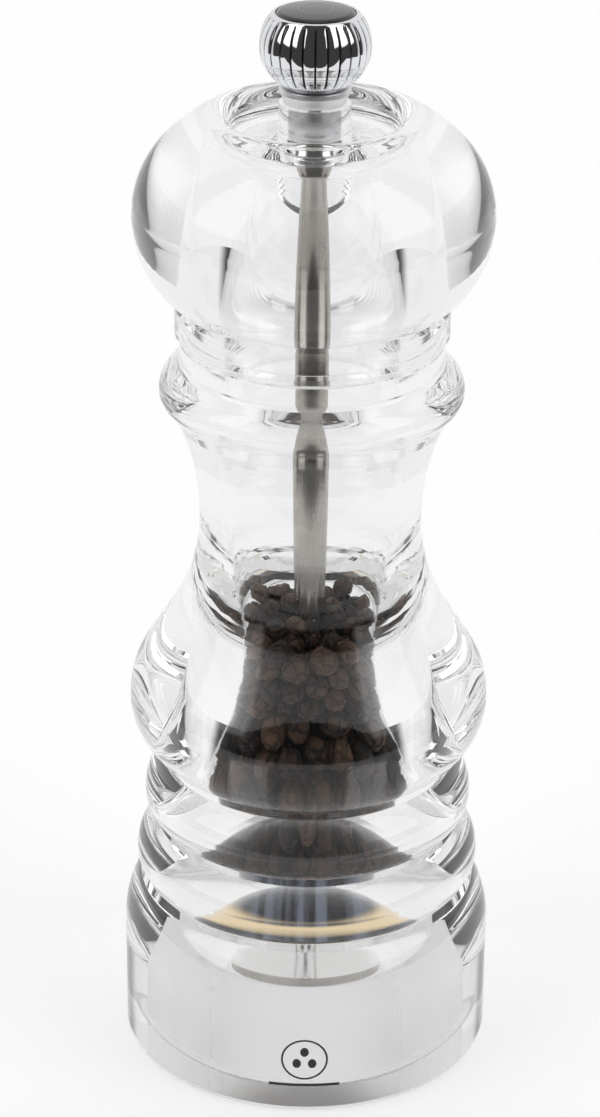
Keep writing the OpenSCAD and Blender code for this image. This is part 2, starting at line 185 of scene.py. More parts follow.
class Shader:
    """A material or world node tree with one way of adding any node."""

    def __init__(self, owner):
        owner.use_nodes = True
        self.tree = owner.node_tree
        self.tree.nodes.clear()

    def node(self, kind, settings=None, **inputs):
        made = self.tree.nodes.new("ShaderNode" + kind)
        for key, value in (settings or {}).items():
            setattr(made, key, value)
        for key, value in inputs.items():
            name = key.replace("_", " ")
            slot = made.inputs[int(key[1:])] if key[0] == "i" and key[1:].isdigit() else made.inputs[name]
            if isinstance(value, Value):
                self.tree.links.new(value.socket, slot)
            else:
                slot.default_value = value
        return made

    def value(self, kind, output, settings=None, **inputs):
        return Value(self.tree, self.node(kind, settings, **inputs).outputs[output])

    def place(self, scale=(1, 1, 1)):
        here = self.value("TexCoord", "Object")
        return self.value("Mapping", 0, None, Vector=here, Scale=scale)

    def noise(self, scale, detail=3.0, rough=0.5, stretch=(1, 1, 1)):
        return self.value("TexNoise", 0, None, Vector=self.place(stretch), Scale=scale,
                          Detail=detail, Roughness=rough)

    def ramp(self, value, low, high, start=0.0, end=1.0):
        return self.value("MapRange", 0, {"interpolation_type": "SMOOTHSTEP"}, Value=value,
                          From_Min=low, From_Max=high, To_Min=start, To_Max=end)

    def mix(self, factor, first, second):
        """A colour between first and second."""
        node = self.node("Mix", {"data_type": "RGBA"})
        for slot, value in ((0, factor), (6, first), (7, second)):
            if isinstance(value, Value):
                self.tree.links.new(value.socket, node.inputs[slot])
            elif isinstance(value, (int, float)):
                node.inputs[slot].default_value = value
            else:
                node.inputs[slot].default_value = (*value[:3], 1.0)
        return Value(self.tree, node.outputs[2])

    def bump(self, height, distance, strength=1.0):
        return self.value("Bump", 0, None, Height=height, Distance=distance, Strength=strength)

    def surface(self, **inputs):
        shader = self.node("BsdfPrincipled", None, **inputs)
        out = self.node("OutputMaterial")
        self.tree.links.new(shader.outputs[0], out.inputs[0])
        return shader


def colour(values):
    return (*values[:3], 1.0)


def shades():
    return bpy.context.scene.mill_colours


def sizes():
    return bpy.context.scene.mill_sizes


def acrylic():
    """Clear moulded acrylic, faintly wavy, with handling marks; the bore over its foot is satin."""
    material = bpy.data.materials.new("clear_acrylic")
    s = Shader(material)
    wave = s.noise(70, 1.0)
    wipe = s.noise(240, 4.0, 0.6, (1, 1, 0.25))
    haze = s.ramp(wipe, 0.62, 0.80, 0.0, 0.012)
    here = s.place()
    x = s.value("SeparateXYZ", 0, None, Vector=here)
    y = s.value("SeparateXYZ", 1, None, Vector=here)
    z = s.value("SeparateXYZ", 2, None, Vector=here)
    bore = s.ramp((x * x + y * y).maths("SQRT"), 0.0182, 0.0178) * s.ramp(z, 0.0180, 0.0172)
    s.surface(Base_Color=s.mix(haze * 12, shades().acrylic, (0.96, 0.965, 0.97)),
              Roughness=haze + bore * 0.5, IOR=1.491,
              Transmission_Weight=1.0, Normal=s.bump(wave, 0.000012))
    return material


def drawn_steel():
    """Drawn steel rod with fine lines along it and specks of pale dust."""
    material = bpy.data.materials.new("drawn_steel")
    s = Shader(material)
    lines = s.noise(2600, 4.0, 0.6, (1, 1, 0.02))
    cloud = s.noise(130, 3.0)
    cells = s.value("TexVoronoi", 0, {"feature": "F1"}, Vector=s.place(), Scale=520)
    field = s.noise(60, 2.0)
    speck = (cells * -1 + 0.14).above(0.0) * field.above(0.52)
    base = s.mix(s.ramp(cloud, 0.35, 0.7) * 0.5, shades().steel, (0.36, 0.335, 0.30))
    s.surface(Base_Color=s.mix(speck, base, (0.92, 0.91, 0.88)),
              Metallic=1 - speck, Roughness=0.20 + lines * 0.12 + speck * 0.4,
              Normal=s.bump(lines, 0.00001))
    return material


def mechanism_steel():
    """Dark case-hardened steel with turning lines round it and faint temper colours."""
    material = bpy.data.materials.new("mechanism_steel")
    s = Shader(material)
    turned = s.noise(1900, 3.0, 0.6, (0.04, 0.04, 1))
    tint = s.noise(90, 2.0)
    base = s.mix(s.ramp(tint, 0.35, 0.7), shades().dark_steel, (0.30, 0.27, 0.22))
    s.surface(Base_Color=base, Metallic=1.0, Roughness=0.22 + turned * 0.16,
              Normal=s.bump(turned, 0.00002))
    return material


def housing_steel():
    """Polished steel of the housing, with light painted in bands by height: bright below as a painted
    reflection, then a gold edge as a painted highlight, then dark as painted shade with bluish streaks of
    painted reflection.
    """
    material = bpy.data.materials.new("housing_steel")
    s = Shader(material)
    turned = s.noise(1500, 3.0, 0.6, (0.05, 0.05, 1))
    marks = s.noise(420, 3.0, 0.6, (1, 1, 0.04))
    height = s.value("SeparateXYZ", 2, None, Vector=s.place())
    # Mask of the upper part: painted shade above, a bright painted reflection below.
    dark = s.ramp(height, 0.0232, 0.0262)
    # Gold band from about 26 to 30 mm up, inside the dark part: a painted highlight.
    edge = s.ramp(height, 0.0301, 0.0294) * dark
    # Near-black with bluish streaks along the axis: painted shade with painted reflection.
    shade_with_blue_streaks = s.mix(s.ramp(marks, 0.46, 0.66), (0.012, 0.012, 0.015), (0.16, 0.18, 0.23))
    upper = s.mix(edge, shade_with_blue_streaks, (0.92, 0.74, 0.46))
    s.surface(Base_Color=s.mix(dark, (0.86, 0.855, 0.84), upper), Metallic=1.0,
              Roughness=0.14 + turned * 0.10, Normal=s.bump(turned, 0.00001))
    return material


def plated_chrome():
    """Chrome plating: near mirror with faint polishing haze."""
    material = bpy.data.materials.new("plated_chrome")
    s = Shader(material)
    haze = s.noise(420, 3.0, 0.6)
    s.surface(Base_Color=s.mix(haze * 0.3, shades().chrome, (0.66, 0.67, 0.69)),
              Metallic=1.0, Roughness=0.035 + s.ramp(haze, 0.5, 0.8) * 0.06,
              Normal=s.bump(haze, 0.000008))
    return material


def painted_groove_shade():
    """The floor of the knob's grooves, where the plating is dull; its near-black colour is painted shade
    for the shade that falls in the grooves.
    """
    material = bpy.data.materials.new("painted_groove_shade")
    s = Shader(material)
    shade_mottle = s.noise(1800, 4.0, 0.6)
    # Near-black colour mottled by noise: painted shade in the grooves.
    s.surface(Base_Color=s.mix(shade_mottle, (0.010, 0.010, 0.011), (0.06, 0.058, 0.055)),
              Metallic=0.6, Roughness=0.35 + shade_mottle * 0.3, Normal=s.bump(shade_mottle, 0.00003))
    return material


def satin_metal():
    """Satin metal collar with fine turned lines."""
    material = bpy.data.materials.new("satin_metal")
    s = Shader(material)
    turned = s.noise(2400, 3.0, 0.6, (0.04, 0.04, 1))
    s.surface(Base_Color=s.mix(turned * 0.3, shades().satin, (0.78, 0.78, 0.785)), Metallic=1.0,
              Roughness=0.33 + turned * 0.12, Normal=s.bump(turned, 0.00001))
    return material


def sleeve_metal():
    """Bright sleeve of the head."""
    material = bpy.data.materials.new("sleeve_metal")
    s = Shader(material)
    turned = s.noise(2000, 3.0, 0.6, (0.05, 0.05, 1))
    s.surface(Base_Color=s.mix(turned, (0.72, 0.72, 0.73), (0.55, 0.55, 0.56)), Metallic=1.0,
              Roughness=0.12 + turned * 0.12, Normal=s.bump(turned, 0.00001))
    return material


def bearing_bronze():
    """Plain bearing bronze with a dull handling film."""
    material = bpy.data.materials.new("bearing_bronze")
    s = Shader(material)
    film = s.noise(500, 4.0, 0.6)
    s.surface(Base_Color=s.mix(film, shades().brass, (0.40, 0.28, 0.13)), Metallic=1.0,
              Roughness=0.22 + film * 0.2, Normal=s.bump(film, 0.00001))
    return material


def gloss_black():
    """Glossy black plastic with a little dust."""
    material = bpy.data.materials.new("gloss_black")
    s = Shader(material)
    dust = s.noise(1500, 5.0, 0.7)
    film = s.noise(220, 3.0)
    s.surface(Base_Color=s.mix(s.ramp(dust, 0.66, 0.80) * 0.25, shades().cap, (0.25, 0.25, 0.25)),
              Roughness=0.10 + film * 0.10, Coat_Weight=0.4, IOR=1.5,
              Normal=s.bump(film, 0.00001))
    return material


def pale_ink():
    """Pale metallic ink of the plain ring on the cap."""
    material = bpy.data.materials.new("pale_ink")
    s = Shader(material)
    grain = s.noise(2500, 2.0)
    s.surface(Base_Color=s.mix(grain, (0.42, 0.42, 0.43), (0.28, 0.28, 0.29)), Metallic=0.6,
              Roughness=0.35 + grain * 0.1, Normal=s.bump(grain, 0.000004))
    return material


def black_ink():
    """Black printing ink with a slightly uneven edge tone."""
    material = bpy.data.materials.new("black_ink")
    s = Shader(material)
    grain = s.noise(2600, 3.0)
    s.surface(Base_Color=s.mix(s.ramp(grain, 0.5, 0.8) * 0.6, shades().ink, (0.07, 0.07, 0.07)),
              Roughness=0.42 + grain * 0.15, Normal=s.bump(grain, 0.000004))
    return material


def peppercorn_skin():
    """Dried black peppercorns: wrinkled, dark brown, each one a little different; the wrinkles' crests are
    painted lighter as painted highlight and their creases darker as painted shade.
    """
    material = bpy.data.materials.new("peppercorn_skin")
    s = Shader(material)
    tone = s.value("Attribute", 2, {"attribute_name": "tone"})
    streak = s.value("Attribute", 2, {"attribute_name": "streak"})
    warped = s.noise(700, 2.0)
    cells = s.value("TexVoronoi", 0, {"feature": "DISTANCE_TO_EDGE"}, Vector=s.place(), Scale=560)
    ridges = s.ramp(cells, 0.0, 0.20)
    fine = s.noise(2600, 4.0, 0.65)
    skin = ridges * 0.8 + fine * 0.5 + warped * 0.6
    # Mix factor: each corn's own tone, plus painted highlight on the wrinkles' crests and painted shade in
    # their creases.
    light = (s.ramp(skin, 0.80, 1.50) * 0.50 + tone * 0.85 - 0.38).clamped()
    base = s.mix(light, shades().pepper_dark, shades().pepper_light)
    red = s.mix(s.ramp(warped, 0.42, 0.66) * 0.45, base, (0.075, 0.028, 0.013))
    split = s.ramp(s.noise(260, 1.0), 0.52, 0.60) * streak
    s.surface(Base_Color=s.mix(split, red, (0.52, 0.17, 0.05)),
              Roughness=0.40 + fine * 0.30, Specular_IOR_Level=0.45,
              Normal=s.bump(skin, sizes().corn_wrinkle, 0.9))
    return material


# ---------------------------------------------------------------- modelling tools

def arc(cr, cz, r, a0, a1, step=2.2):
    """Points of an arc in the half plane, in millimetres, from angle a0 to angle a1."""
    n = max(3, math.ceil(abs(a1 - a0) / step), math.ceil(abs(math.radians(a1 - a0)) * r / 1.6))
    return [(cr + r * math.cos(math.radians(a0 + (a1 - a0) * i / n)),
             cz + r * math.sin(math.radians(a0 + (a1 - a0) * i / n))) for i in range(n + 1)]


def soften(points, radius, closed=True):
    """Rounds each sharp corner of an outline with a small arc."""
    out = []
    n = len(points)
    for i, here in enumerate(points):
        if not closed and i in (0, n - 1):
            out.append(here)
            continue
        p, q, r = Vector(points[i - 1]), Vector(here), Vector(points[(i + 1) % n])
        a, b = p - q, r - q
        if a.length < 1e-6 or b.length < 1e-6:
            continue
        turn = math.pi - a.angle(b)
        if turn < math.radians(20):
            out.append(here)
            continue
        cut = min(radius * math.tan(turn / 2), a.length * 0.4, b.length * 0.4)
        start, end = q + a.normalized() * cut, q + b.normalized() * cut
        for k in range(6):
            t = k / 5
            w = start * (1 - t) ** 2 + q * 2 * t * (1 - t) + end * t ** 2
            out.append((w.x, w.y))
    return out


def guarded(points, closed=True, close=0.09, least=0.9):
    """Adds a point near both ends of each long straight edge, so that shading stays true along it."""
    out = []
    n = len(points)
    for i, here in enumerate(points):
        out.append(here)
        if i == n - 1 and not closed:
            break
        q, r = Vector(here), Vector(points[(i + 1) % n])
        span = (r - q).length
        if span > least:
            for d in (close, span - close):
                w = q + (r - q) * (d / span)
                out.append((w.x, w.y))
    return out


def clean_selection():
    if bpy.context.object and bpy.context.object.mode != "OBJECT":
        bpy.ops.object.mode_set(mode="OBJECT")
    bpy.ops.object.select_all(action="DESELECT")


def only(piece):
    clean_selection()
    piece.select_set(True)
    bpy.context.view_layer.objects.active = piece


def lathe(name, points, steps, closed=True):
    """Spins an outline, in millimetres, round the mill's axis."""
    clean_selection()
    bpy.ops.mesh.primitive_circle_add(vertices=len(points), radius=0.01)
    piece = bpy.context.object
    piece.name = name
    for vertex, (r, z) in zip(piece.data.vertices, points):
        vertex.co = (r * MM, 0, z * MM)
    if not closed:
        last = len(points) - 1
        bpy.ops.object.mode_set(mode="EDIT")
        bpy.ops.mesh.select_mode(type="EDGE")
        bpy.ops.mesh.select_all(action="DESELECT")
        bpy.ops.object.mode_set(mode="OBJECT")
        for edge in piece.data.edges:
            edge.select = set(edge.vertices) == {0, last}
        bpy.ops.object.mode_set(mode="EDIT")
        bpy.ops.mesh.delete(type="EDGE_FACE")
        bpy.ops.mesh.select_mode(type="VERT")
        bpy.ops.object.mode_set(mode="OBJECT")
    bpy.ops.object.mode_set(mode="EDIT")
    bpy.ops.mesh.select_all(action="SELECT")
    bpy.ops.mesh.spin(steps=steps, angle=2 * math.pi, center=(0, 0, 0), axis=(0, 0, 1))
    bpy.ops.mesh.select_all(action="SELECT")
    bpy.ops.mesh.remove_doubles(threshold=1e-7)
    bpy.ops.mesh.normals_make_consistent(inside=False)
    bpy.ops.object.mode_set(mode="OBJECT")
    return piece


def smooth(piece, angle=28):
    only(piece)
    bpy.ops.object.shade_smooth_by_angle(angle=math.radians(angle))
    return piece


def settle(piece):
    """Puts the piece's place into its mesh."""
    only(piece)
    bpy.ops.object.transform_apply(location=True, rotation=True, scale=True)
    return piece


def block(name, low, high, bevel=0.1):
    """A bevelled bar between two corners, in millimetres."""
    clean_selection()
    centre = [(a + b) / 2 * MM for a, b in zip(low, high)]
    spans = [(b - a) * MM for a, b in zip(low, high)]
    bpy.ops.mesh.primitive_cube_add(size=1, location=centre, scale=spans)
    piece = bpy.context.object
    piece.name = name
    settle(piece)
    bpy.ops.object.mode_set(mode="EDIT")
    bpy.ops.mesh.select_all(action="SELECT")
    bpy.ops.mesh.bevel(offset=bevel * MM, segments=2)
    bpy.ops.object.mode_set(mode="OBJECT")
    return smooth(piece)


def join(name, pieces):
    clean_selection()
    for piece in pieces:
        piece.select_set(True)
    bpy.context.view_layer.objects.active = pieces[0]
    bpy.ops.object.join()
    pieces[0].name = name
    return pieces[0]


def finish(piece, material, body, slot, *nodes):
    """Gives a piece its material (unless it has its own) and its body, and hides the CAD nodes it stands in
    for; the slot is not used.
    """
    if not piece.data.materials:
        piece.data.materials.append(material)
    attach(piece, body)
    if nodes:
        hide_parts(*nodes)
    return piece


# ---------------------------------------------------------------- outlines, in millimetres

NECK_BORE = 13.2
HOPPER_BORE = 16.2
FLARE_TOP = 78
FLARE_BOTTOM = 52
FLARE_DROP = 26
FLARE_SPREAD = 3
FLARE_ARC = (FLARE_DROP ** 2 + FLARE_SPREAD ** 2) / (2 * FLARE_SPREAD)


def flare(z):
    """Radius of the hopper at a height."""
    if z >= FLARE_TOP:
        return NECK_BORE
    if z <= FLARE_BOTTOM:
        return HOPPER_BORE
    return NECK_BORE + FLARE_ARC - math.sqrt(FLARE_ARC ** 2 - (FLARE_TOP - z) ** 2)


def body_outline():
    outer = ([(29.8, 0), (30.64, 0.36), (31, 1.2)]
             + arc(14.5, 20.5, 16.5, 0, 33.5) + arc(23.8, 34.2, 5, -48, 0) + arc(21.8, 34.2, 7, 8, 60)
             + arc(22.35, 45.6, 5, -62, 0) + arc(19.85, 45.6, 7.5, 8, 58)
             + arc(17.65, 63.5, 12, -60, 0) + arc(15.15, 63.5, 14.5, 6, 33)
             + arc(52, 96, 34, 213, 180) + arc(61, 96, 43, 177, 157)
             + arc(21.45, 118, 3, -52, -10) + arc(20.05, 118, 4.4, 0, 52)
             + arc(23.3, 123.6, 2, 214, 180) + [(21.1, 126.2)])
    hollow = ([(14.6, 126.2)] + [(flare(FLARE_TOP - i), FLARE_TOP - i) for i in range(FLARE_DROP + 1)]
              + [(16.2, 38.2), (16.6, 38.2), (16.6, 0.8), (17.4, 0)])
    return outer + hollow


def head_outline():
    return ([(21.1, 126.5), (21.9, 127.8), (21.9, 132.3)]
            + arc(10.9, 147, 17.6, -52, 0) + arc(12.2, 147, 16.3, 6, 42)
            + arc(4.991, 140.509, 26, 43, 61) + arc(16.142, 160.626, 3, 64, 150, 3)
            + arc(11.0, 161.526, 2.4, 5, -90, 4) + arc(7.2, 160.726, 1.6, -90, -180, 6) + [(5.6, 165.226)]
            + [(4.2, 165.226), (4.2, 157.0)] + arc(12.2, 155.5, 1.5, 90, 0, 4) + [(13.7, 126.5)])


def thread(low, high, outer, pitch, depth):
    """A ridged outline that stands for a screw thread, from low to high."""
    points = [(outer - depth, low)]
    turns = int((high - low) / pitch)
    for i in range(turns):
        z = low + i * pitch
        points += [(outer, z + pitch * 0.40), (outer, z + pitch * 0.60), (outer - depth, z + pitch)]
    return points + [(outer - depth, high)]


# ---------------------------------------------------------------- pieces

class MILL_OT_body(bpy.types.Operator):
    """Turns the clear body with its hopper and foot"""

    bl_idname = "mill.body"
    bl_label = "Acrylic body"

    def execute(self, context):
        rim = sizes().edge_radius / MM
        piece = lathe("body_acrylic", guarded(soften(body_outline(), rim)), sizes().lathe_steps)
        finish(smooth(piece), acrylic(), "body_unit", "acrylic", "body")
        return {"FINISHED"}


class MILL_OT_head(bpy.types.Operator):
    """Turns the clear head with its dish and hub"""

    bl_idname = "mill.head"
    bl_label = "Acrylic head"

    def execute(self, context):
        rim = sizes().edge_radius / MM
        piece = lathe("head_acrylic", guarded(soften(head_outline(), rim)), sizes().lathe_steps)
        material = bpy.data.materials.get("clear_acrylic") or acrylic()
        finish(smooth(piece), material, "head_unit", "acrylic", "head")
        return {"FINISHED"}


class MILL_OT_shaft(bpy.types.Operator):
    """Models the round steel shaft with its squares and threads"""

    bl_idname = "mill.shaft"
    bl_label = "Shaft"

    def execute(self, context):
        rod = [(0, 25.6), (2.5, 25.6), (2.7, 25.8), (2.7, 159.25), (2.45, 159.5), (0, 159.5)]
        upper = [(0, 165.7)] + thread(165.7, 174.3, 1.9, 0.7, 0.28) + [(0, 174.3)]
        lower = [(0, 17.8)] + thread(17.8, 20.9, 1.9, 0.7, 0.28) + [(0, 20.9)]
        parts = [smooth(lathe("rod", guarded(rod, False, least=5), 128, False)),
                 block("lower_square", (-1.9, -1.9, 20.9), (1.9, 1.9, 25.7)),
                 block("upper_square", (-1.9, -1.9, 159.4), (1.9, 1.9, 165.8)),
                 smooth(lathe("upper_thread", upper, 48, False), 20),
                 smooth(lathe("lower_thread", lower, 48, False), 20)]
        finish(join("steel_shaft", parts), drawn_steel(), "spindle", "steel", "shaft")
        return {"FINISHED"}


class MILL_OT_sleeve(bpy.types.Operator):
    """Models the plain steel sleeve in the head, with a ridged band at its foot"""

    bl_idname = "mill.sleeve"
    bl_label = "Sleeve in the head"

    def execute(self, context):
        ridges = thread(157.0, 159.4, 4.15, 0.6, 0.2)
        outline = ([(2.3, 156.2), (3.9, 156.2), (4.15, 156.45), (4.15, 156.9)] + ridges
                   + [(4.15, 159.5), (4.15, 165.2), (2.3, 165.2)])
        piece = smooth(lathe("head_sleeve", outline, 128), 20)
        finish(piece, sleeve_metal(), "head_unit", "steel", "drive_bush")
        return {"FINISHED"}


class MILL_OT_collar(bpy.types.Operator):
    """Turns the satin collar under the knob"""

    bl_idname = "mill.collar"
    bl_label = "Collar"

    def execute(self, context):
        outline = [(2.9, 165.23), (4.8, 165.23), (4.95, 165.8), (5.6, 167.0), (5.6, 167.82), (2.9, 167.82)]
        piece = smooth(lathe("satin_collar", guarded(soften(outline, 0.18), least=0.5), 128))
        finish(piece, satin_metal(), "head_unit", "satin", "collar")
        return {"FINISHED"}


class MILL_OT_knob(bpy.types.Operator):
    """Turns the knob, then sinks a groove between each pair of flats"""

    bl_idname = "mill.knob"
    bl_label = "Fluted knob"

    def execute(self, context):
        flats = sizes().knob_flats
        width, depth = sizes().groove_width, sizes().groove_depth
        sector = 2 * math.pi / flats
        ball = arc(1.5, 174.32, 7.2, -58, 40, 4)
        outline = ([(3.25, 167.88), (4.9, 167.88), (5.15, 168.0)] + ball
                   + [(6.95, 179.05), (6.86, 179.2), (6.74, 179.29), (6.5, 179.33), (6.25, 179.3),
                      (6.25, 177.35), (3.25, 177.35)])
        columns = 8
        piece = lathe("fluted_knob", outline, flats * columns)
        low, high = 168.4 * MM, 178.6 * MM
        grooves = []
        for vertex in piece.data.vertices:
            x, y, z = vertex.co
            r = math.hypot(x, y)
            if r < 0.0064:
                continue
            turn = math.atan2(y, x) / sector
            whole = math.floor(turn + 1e-6)
            k = round((turn - whole) * columns) % columns
            if round((turn - whole) * columns) == columns:
                whole += 1
            half = width / 2 / r / sector
            spots = {0: 0.0, 1: half * 0.72, 2: half, 3: half + 0.06, 4: 0.5, 5: 1 - half - 0.06,
                     6: 1 - half, 7: 1 - half * 0.72}
            angle = (whole + spots[k]) * sector
            inside = low < z < high
            swell = r
            if inside and k in (0, 1, 7):
                swell = r - depth
            elif inside and k in (3, 5):
                swell = r - 0.00002
            elif inside and k in (2, 6):
                swell = r - 0.00005
            vertex.co = (swell * math.cos(angle), swell * math.sin(angle), z)
            if inside and k in (0, 1, 7):
                grooves.append(vertex.index)
        piece.data.materials.append(plated_chrome())
        piece.data.materials.append(painted_groove_shade())
        sunk = set(grooves)
        # Faces sunk in the grooves take the second material, the painted shade of the grooves.
        for face in piece.data.polygons:
            if sum(v in sunk for v in face.vertices) >= 3:
                face.material_index = 1
        smooth(piece, 30)
        finish(piece, None, "knob_unit", "chrome", "knob")
        return {"FINISHED"}


class MILL_OT_cap(bpy.types.Operator):
    """Models the glossy black cap with a plain pale ring on it"""

    bl_idname = "mill.cap"
    bl_label = "Cap"

    def execute(self, context):
        steps = (0, 0.12, 0.25, 0.4, 0.55, 0.7, 0.82, 0.92, 1.0)
        dome = [(5.5 * t, 180.02 - 0.34 * t ** 2.2) for t in steps]
        outline = dome + [(5.62, 179.63), (6.1, 179.25), (6.2, 179.1), (6.2, 177.36), (0, 177.36)]
        piece = smooth(lathe("gloss_cap", outline, 128, False))
        finish(piece, gloss_black(), "knob_unit", "black", "knob_cap")
        top = 180.02 - 0.34 * (2.7 / 5.5) ** 2.2
        band = [(2.60, top - 0.03), (2.60, top + 0.018), (2.80, top + 0.008), (2.80, top - 0.03)]
        ring = smooth(lathe("cap_ring", band, 96))
        finish(ring, pale_ink(), "knob_unit", None)
        return {"FINISHED"}


class MILL_OT_housing(bpy.types.Operator):
    """Turns the polished housing of the grinding mechanism"""

    bl_idname = "mill.housing"
    bl_label = "Mechanism housing"

    def execute(self, context):
        outline = [(14.2, 18.4), (16.55, 18.4), (16.55, 38.2), (15.7, 38.2), (14.2, 36.4)]
        piece = smooth(lathe("mechanism_housing", guarded(soften(outline, 0.2)), sizes().lathe_steps))
        finish(piece, housing_steel(), "body_unit", "steel", "housing")
        return {"FINISHED"}


class MILL_OT_mechanism(bpy.types.Operator):
    """Gives the grinding mechanism's frame parts their metals"""

    bl_idname = "mill.mechanism"
    bl_label = "Grinding mechanism"

    def execute(self, context):
        dark, steel, bronze = mechanism_steel(), bpy.data.materials["drawn_steel"], bearing_bronze()
        worn = {"grinder": dark, "grinding_ring": dark, "bridge": dark, "bridge_bush": bronze,
                "knob_insert": bronze, "bottom_plate": steel, "plate_screws": steel, "spring": steel,
                "spring_seat": steel, "thrust_washer": steel, "shaft_nut": steel}
        for node, material in worn.items():
            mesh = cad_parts[node].data
            mesh.materials.clear()
            mesh.materials.append(material)
        return {"FINISHED"}


def packed_corns():
    """Lets balls of different sizes sink into the hopper until they rest on each other."""
    dice = np.random.RandomState(11)
    count = sizes().corn_count
    mean = sizes().corn_radius / MM
    radius = mean * dice.uniform(0.86, 1.16, count)
    angle = dice.uniform(0, 2 * math.pi, count)
    out = dice.uniform(5.2, 10.0, count)
    height = 42 + np.arange(count) * 62.0 / count
    place = np.stack([out * np.cos(angle), out * np.sin(angle), height], 1)
    reach = radius[:, None] + radius[None, :]
    squeeze, overlap, bottom = 0.36, 0.97, 38.5
    shaft_room, wall_room = 2.75, 0.15
    for step in range(420):
        place[:, 2] -= 0.22 if step < 300 else 0.05
        for _ in range(3):
            gap = place[:, None, :] - place[None, :, :]
            far = np.sqrt((gap ** 2).sum(2)) + 1e-9
            push = np.clip(reach * overlap - far, 0, None)
            np.fill_diagonal(push, 0)
            place += (gap / far[:, :, None] * push[:, :, None]).sum(1) * squeeze
            z = np.clip(place[:, 2], FLARE_BOTTOM, FLARE_TOP)
            wall = NECK_BORE + FLARE_ARC - np.sqrt(FLARE_ARC ** 2 - (FLARE_TOP - z) ** 2)
            r = np.hypot(place[:, 0], place[:, 1]) + 1e-9
            fit = np.clip(r, shaft_room + radius, wall - radius - wall_room)
            place[:, :2] *= (fit / r)[:, None]
            place[:, 2] = np.maximum(place[:, 2], bottom + radius)
    return place, radius


class MILL_OT_peppercorns(bpy.types.Operator):
    """Models a few wrinkled peppercorns and fills the hopper with copies of them"""

    bl_idname = "mill.peppercorns"
    bl_label = "Peppercorns"

    def execute(self, context):
        dice = random.Random(5)
        seeds = []
        for i in range(8):
            clean_selection()
            bpy.ops.mesh.primitive_ico_sphere_add(subdivisions=2, radius=1)
            seed = bpy.context.object
            bpy.ops.object.mode_set(mode="EDIT")
            bpy.ops.mesh.select_all(action="SELECT")
            bpy.ops.transform.vertex_random(offset=0.085, uniform=0.2, normal=0.8, seed=i + 3)
            bpy.ops.transform.resize(value=(1.0, dice.uniform(0.93, 1.04), dice.uniform(0.88, 1.02)))
            bpy.ops.object.mode_set(mode="OBJECT")
            seeds.append(seed)
        place, radius = packed_corns()
        copper = np.array([-5.0, -11.5, 64.0])
        near = min(range(len(place)), key=lambda i: (place[i] - copper) @ (place[i] - copper))
        corns = []
        for i, (spot, size) in enumerate(zip(place, radius)):
            mesh = seeds[dice.randrange(len(seeds))].data.copy()
            turn = dice.uniform(0, 6.28)
            pole = Vector((dice.uniform(-1, 1), dice.uniform(-1, 1), 1))
            spin = Matrix.Rotation(turn, 4, pole)
            mesh.transform(Matrix.Translation(Vector(spot) * MM) @ spin @ Matrix.Scale(size * MM * 0.99, 4))
            for name, value in (("tone", dice.random()), ("streak", float(i == near))):
                layer = mesh.attributes.new(name, "FLOAT", "POINT")
                layer.data.foreach_set("value", [value] * len(mesh.vertices))
            corn = bpy.data.objects.new(f"corn_{i}", mesh)
            context.scene.collection.objects.link(corn)
            corns.append(corn)
        for seed in seeds:
            bpy.data.objects.remove(seed)
        piece = join("peppercorn_fill", corns)
        smooth(piece, 60)
        finish(piece, peppercorn_skin(), "body_unit", "pepper", "peppercorns")
        return {"FINISHED"}


class MILL_OT_mark(bpy.types.Operator):
    """Prints a plain mark of a ring with three seeds over a bar on the front of the base"""

    bl_idname = "mill.mark"
    bl_label = "Printed mark"

    def execute(self, context):
        width = sizes().mark_width
        parts = []
        clean_selection()
        bpy.ops.mesh.primitive_circle_add(vertices=72, radius=width * 0.33, fill_type="NGON")
        ring = context.object
        bpy.ops.object.mode_set(mode="EDIT")
        bpy.ops.mesh.select_all(action="SELECT")
        bpy.ops.mesh.inset(thickness=width * 0.028)
        bpy.ops.mesh.delete(type="FACE")
        bpy.ops.object.mode_set(mode="OBJECT")
        parts.append(ring)
        for k in range(3):
            a = math.radians(90 + 120 * k)
            clean_selection()
            bpy.ops.mesh.primitive_circle_add(
                vertices=32, radius=width * 0.075, fill_type="NGON",
                location=(width * 0.125 * math.cos(a), width * 0.125 * math.sin(a), 0))
            seed = context.object
            bpy.ops.object.mode_set(mode="EDIT")
            bpy.ops.mesh.select_all(action="SELECT")
            bpy.ops.transform.resize(value=(0.8, 1.0, 1.0), center_override=seed.location)
            bpy.ops.mesh.inset(thickness=width * 0.02)
            bpy.ops.object.mode_set(mode="OBJECT")
            settle(seed)
            parts.append(seed)
        clean_selection()
        bpy.ops.mesh.primitive_grid_add(x_subdivisions=28, y_subdivisions=1, size=1,
                                        location=(0, -width * 0.42, 0))
        bar = context.object
        bar.scale = (width, width * 0.045, 1)
        settle(bar)
        parts.append(bar)
        piece = join("base_mark", parts)
        bpy.ops.object.mode_set(mode="EDIT")
        bpy.ops.mesh.select_all(action="SELECT")
        bpy.ops.mesh.extrude_region_move(TRANSFORM_OT_translate={"value": (0, 0, 0.00002)})
        bpy.ops.mesh.select_all(action="SELECT")
        bpy.ops.mesh.normals_make_consistent(inside=False)
        bpy.ops.object.mode_set(mode="OBJECT")
        radius, middle = 0.031, 0.0105
        for vertex in piece.data.vertices:
            x, up, proud = vertex.co
            out = radius + 0.000004 + proud
            vertex.co = (out * math.sin(x / radius), -out * math.cos(x / radius), middle + up)
        finish(smooth(piece), black_ink(), "body_unit", None)
        return {"FINISHED"}


